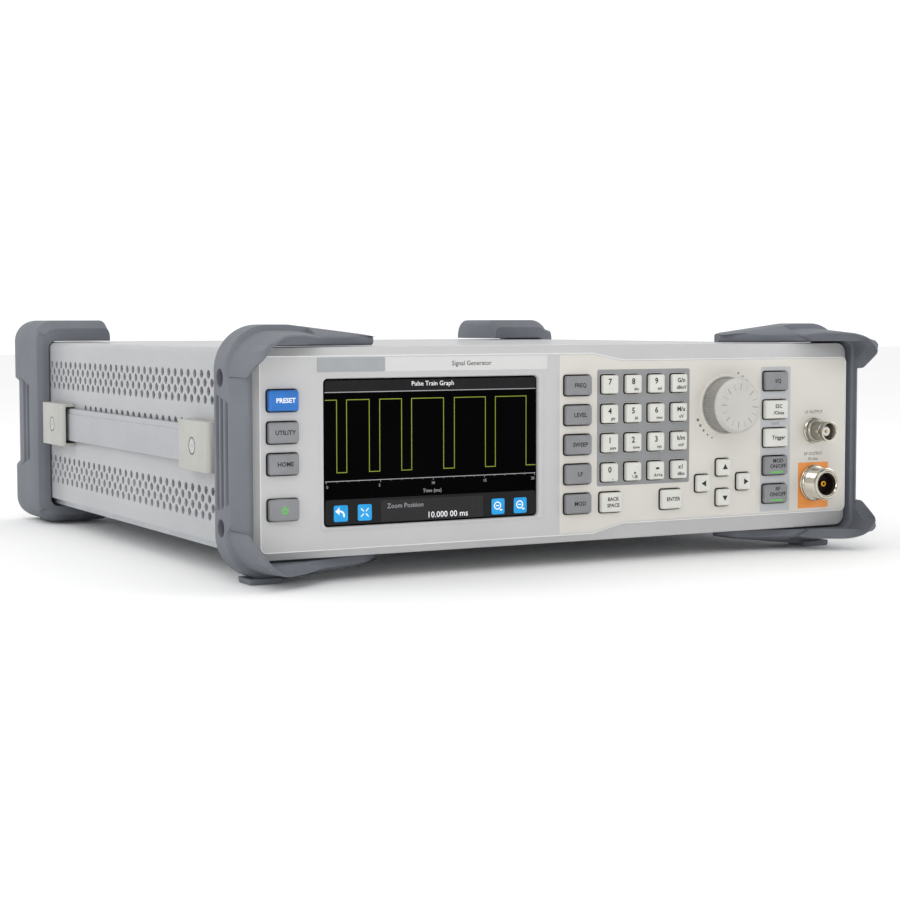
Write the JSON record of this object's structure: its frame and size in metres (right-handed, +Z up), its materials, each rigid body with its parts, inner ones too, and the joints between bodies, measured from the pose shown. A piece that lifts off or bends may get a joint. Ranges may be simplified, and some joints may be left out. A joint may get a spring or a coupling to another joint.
{
  "type": "function generator",
  "caption": "Bench signal generator: low wide case with corner bumpers, colour screen, keypad, rotary knob, side strap handle and coaxial outputs.",
  "frame": {"origin": "middle of the footprint, on the surface the foot pads stand on", "axes": "+Z up, front panel faces -Y, +X to the right as seen by someone facing the panel"},
  "size_m": [0.338, 0.369, 0.1156],
  "materials": {
    "panel_plastic": "fine moulded texture",
    "cover_paint": "satin powder coat",
    "bare_steel": "zinc-plated sheet",
    "bumper_rubber": "matt moulded",
    "grey_key": "satin",
    "white_key": "satin",
    "blue_key": "satin",
    "knob_plastic": "satin with fluted side",
    "cap_plastic": "satin moulded",
    "strap_rubber": "satin",
    "circuit_board": "solder mask",
    "black_plastic": "fine moulded texture",
    "nickel_plate": "nickel plate",
    "screen_glass": "polished"
  },
  "bodies": {
    "root": {"front_bezel": "panel_plastic", "front_board": "circuit_board", "display_window": "screen_glass", "display_module": "black_plastic", "bnc_output": "nickel_plate", "n_output": "nickel_plate", "outer_cover": "cover_paint", "chassis": "bare_steel", "rear_panel": "bare_steel", "main_board": "circuit_board", "power_supply": "circuit_board", "mains_inlet": "black_plastic", "fan_frame": "black_plastic", "handle_cap_front": "cap_plastic", "handle_cap_rear": "cap_plastic", "bumper_front_left": "bumper_rubber", "bumper_front_right": "bumper_rubber", "bumper_rear_left": "bumper_rubber", "bumper_rear_right": "bumper_rubber"},
    "strap_front": {"strap_front": "strap_rubber"},
    "strap_rear": {"strap_rear": "strap_rubber"},
    "strap_tip": {"strap_tip": "strap_rubber"},
    "knob": {"knob": "knob_plastic"},
    "fan_rotor": {"fan_rotor": "black_plastic"},
    "key_preset": {"key_preset": "blue_key"},
    "key_utility": {"key_utility": "grey_key"},
    "key_home": {"key_home": "grey_key"},
    "key_power": {"key_power": "grey_key"},
    "key_freq": {"key_freq": "grey_key"},
    "key_level": {"key_level": "grey_key"},
    "key_sweep": {"key_sweep": "grey_key"},
    "key_lf": {"key_lf": "grey_key"},
    "key_mod": {"key_mod": "grey_key"},
    "key_7": {"key_7": "white_key"},
    "key_4": {"key_4": "white_key"},
    "key_1": {"key_1": "white_key"},
    "key_0": {"key_0": "white_key"},
    "key_8": {"key_8": "white_key"},
    "key_5": {"key_5": "white_key"},
    "key_2": {"key_2": "white_key"},
    "key_point": {"key_point": "white_key"},
    "key_9": {"key_9": "white_key"},
    "key_6": {"key_6": "white_key"},
    "key_3": {"key_3": "white_key"},
    "key_sign": {"key_sign": "white_key"},
    "key_giga": {"key_giga": "white_key"},
    "key_mega": {"key_mega": "white_key"},
    "key_kilo": {"key_kilo": "white_key"},
    "key_unit": {"key_unit": "white_key"},
    "key_backspace": {"key_backspace": "white_key"},
    "key_enter": {"key_enter": "white_key"},
    "key_up": {"key_up": "white_key"},
    "key_left": {"key_left": "white_key"},
    "key_right": {"key_right": "white_key"},
    "key_down": {"key_down": "white_key"},
    "key_iq": {"key_iq": "grey_key"},
    "key_escape": {"key_escape": "white_key"},
    "key_trigger": {"key_trigger": "white_key"},
    "key_mod_output": {"key_mod_output": "grey_key"},
    "key_rf_output": {"key_rf_output": "grey_key"}
  },
  "joints": [
    {"name": "strap_lift", "type": "hinge", "parent": "root", "child": "strap_front", "pos_m": [-0.1635, -0.094, 0.05905], "axis": [0, 0, 1], "range_deg": [0, 20], "stiffness_Nm_per_rad": 0.5},
    {"name": "strap_bend", "type": "hinge", "parent": "strap_front", "child": "strap_rear", "pos_m": [-0.1635, -0.0005, 0.05905], "axis": [0, 0, 1], "range_deg": [-40, 0]},
    {"name": "strap_tip_turn", "type": "hinge", "parent": "strap_rear", "child": "strap_tip", "pos_m": [-0.1635, 0.093, 0.05905], "axis": [0, 0, 1], "range_deg": [0, 20]},
    {"name": "knob_turn", "type": "hinge", "parent": "root", "child": "knob", "pos_m": [0.0845, -0.171, 0.0738], "axis": [0, 1, 0], "continuous": true},
    {"name": "fan_spin", "type": "hinge", "parent": "root", "child": "fan_rotor", "pos_m": [-0.0715, 0.163, 0.0608], "axis": [0, 1, 0], "continuous": true},
    {"name": "press_preset", "type": "slide", "parent": "root", "child": "key_preset", "axis": [0, 1, 0], "range_m": [0, 0.0012], "stiffness_N_per_m": 600},
    {"name": "press_utility", "type": "slide", "parent": "root", "child": "key_utility", "axis": [0, 1, 0], "range_m": [0, 0.0012], "stiffness_N_per_m": 600},
    {"name": "press_home", "type": "slide", "parent": "root", "child": "key_home", "axis": [0, 1, 0], "range_m": [0, 0.0012], "stiffness_N_per_m": 600},
    {"name": "press_power", "type": "slide", "parent": "root", "child": "key_power", "axis": [0, 1, 0], "range_m": [0, 0.0012], "stiffness_N_per_m": 600},
    {"name": "press_freq", "type": "slide", "parent": "root", "child": "key_freq", "axis": [0, 1, 0], "range_m": [0, 0.0012], "stiffness_N_per_m": 600},
    {"name": "press_level", "type": "slide", "parent": "root", "child": "key_level", "axis": [0, 1, 0], "range_m": [0, 0.0012], "stiffness_N_per_m": 600},
    {"name": "press_sweep", "type": "slide", "parent": "root", "child": "key_sweep", "axis": [0, 1, 0], "range_m": [0, 0.0012], "stiffness_N_per_m": 600},
    {"name": "press_lf", "type": "slide", "parent": "root", "child": "key_lf", "axis": [0, 1, 0], "range_m": [0, 0.0012], "stiffness_N_per_m": 600},
    {"name": "press_mod", "type": "slide", "parent": "root", "child": "key_mod", "axis": [0, 1, 0], "range_m": [0, 0.0012], "stiffness_N_per_m": 600},
    {"name": "press_7", "type": "slide", "parent": "root", "child": "key_7", "axis": [0, 1, 0], "range_m": [0, 0.0012], "stiffness_N_per_m": 600},
    {"name": "press_4", "type": "slide", "parent": "root", "child": "key_4", "axis": [0, 1, 0], "range_m": [0, 0.0012], "stiffness_N_per_m": 600},
    {"name": "press_1", "type": "slide", "parent": "root", "child": "key_1", "axis": [0, 1, 0], "range_m": [0, 0.0012], "stiffness_N_per_m": 600},
    {"name": "press_0", "type": "slide", "parent": "root", "child": "key_0", "axis": [0, 1, 0], "range_m": [0, 0.0012], "stiffness_N_per_m": 600},
    {"name": "press_8", "type": "slide", "parent": "root", "child": "key_8", "axis": [0, 1, 0], "range_m": [0, 0.0012], "stiffness_N_per_m": 600},
    {"name": "press_5", "type": "slide", "parent": "root", "child": "key_5", "axis": [0, 1, 0], "range_m": [0, 0.0012], "stiffness_N_per_m": 600},
    {"name": "press_2", "type": "slide", "parent": "root", "child": "key_2", "axis": [0, 1, 0], "range_m": [0, 0.0012], "stiffness_N_per_m": 600},
    {"name": "press_point", "type": "slide", "parent": "root", "child": "key_point", "axis": [0, 1, 0], "range_m": [0, 0.0012], "stiffness_N_per_m": 600},
    {"name": "press_9", "type": "slide", "parent": "root", "child": "key_9", "axis": [0, 1, 0], "range_m": [0, 0.0012], "stiffness_N_per_m": 600},
    {"name": "press_6", "type": "slide", "parent": "root", "child": "key_6", "axis": [0, 1, 0], "range_m": [0, 0.0012], "stiffness_N_per_m": 600},
    {"name": "press_3", "type": "slide", "parent": "root", "child": "key_3", "axis": [0, 1, 0], "range_m": [0, 0.0012], "stiffness_N_per_m": 600},
    {"name": "press_sign", "type": "slide", "parent": "root", "child": "key_sign", "axis": [0, 1, 0], "range_m": [0, 0.0012], "stiffness_N_per_m": 600},
    {"name": "press_giga", "type": "slide", "parent": "root", "child": "key_giga", "axis": [0, 1, 0], "range_m": [0, 0.0012], "stiffness_N_per_m": 600},
    {"name": "press_mega", "type": "slide", "parent": "root", "child": "key_mega", "axis": [0, 1, 0], "range_m": [0, 0.0012], "stiffness_N_per_m": 600},
    {"name": "press_kilo", "type": "slide", "parent": "root", "child": "key_kilo", "axis": [0, 1, 0], "range_m": [0, 0.0012], "stiffness_N_per_m": 600},
    {"name": "press_unit", "type": "slide", "parent": "root", "child": "key_unit", "axis": [0, 1, 0], "range_m": [0, 0.0012], "stiffness_N_per_m": 600},
    {"name": "press_backspace", "type": "slide", "parent": "root", "child": "key_backspace", "axis": [0, 1, 0], "range_m": [0, 0.0012], "stiffness_N_per_m": 600},
    {"name": "press_enter", "type": "slide", "parent": "root", "child": "key_enter", "axis": [0, 1, 0], "range_m": [0, 0.0012], "stiffness_N_per_m": 600},
    {"name": "press_up", "type": "slide", "parent": "root", "child": "key_up", "axis": [0, 1, 0], "range_m": [0, 0.0012], "stiffness_N_per_m": 600},
    {"name": "press_left", "type": "slide", "parent": "root", "child": "key_left", "axis": [0, 1, 0], "range_m": [0, 0.0012], "stiffness_N_per_m": 600},
    {"name": "press_right", "type": "slide", "parent": "root", "child": "key_right", "axis": [0, 1, 0], "range_m": [0, 0.0012], "stiffness_N_per_m": 600},
    {"name": "press_down", "type": "slide", "parent": "root", "child": "key_down", "axis": [0, 1, 0], "range_m": [0, 0.0012], "stiffness_N_per_m": 600},
    {"name": "press_iq", "type": "slide", "parent": "root", "child": "key_iq", "axis": [0, 1, 0], "range_m": [0, 0.0012], "stiffness_N_per_m": 600},
    {"name": "press_escape", "type": "slide", "parent": "root", "child": "key_escape", "axis": [0, 1, 0], "range_m": [0, 0.0012], "stiffness_N_per_m": 600},
    {"name": "press_trigger", "type": "slide", "parent": "root", "child": "key_trigger", "axis": [0, 1, 0], "range_m": [0, 0.0012], "stiffness_N_per_m": 600},
    {"name": "press_mod_output", "type": "slide", "parent": "root", "child": "key_mod_output", "axis": [0, 1, 0], "range_m": [0, 0.0012], "stiffness_N_per_m": 600},
    {"name": "press_rf_output", "type": "slide", "parent": "root", "child": "key_rf_output", "axis": [0, 1, 0], "range_m": [0, 0.0012], "stiffness_N_per_m": 600}
  ],
  "couplings": [
    {"joint": "strap_bend", "follows": "strap_lift", "ratio": -2},
    {"joint": "strap_tip_turn", "follows": "strap_lift", "ratio": 1}
  ]
}
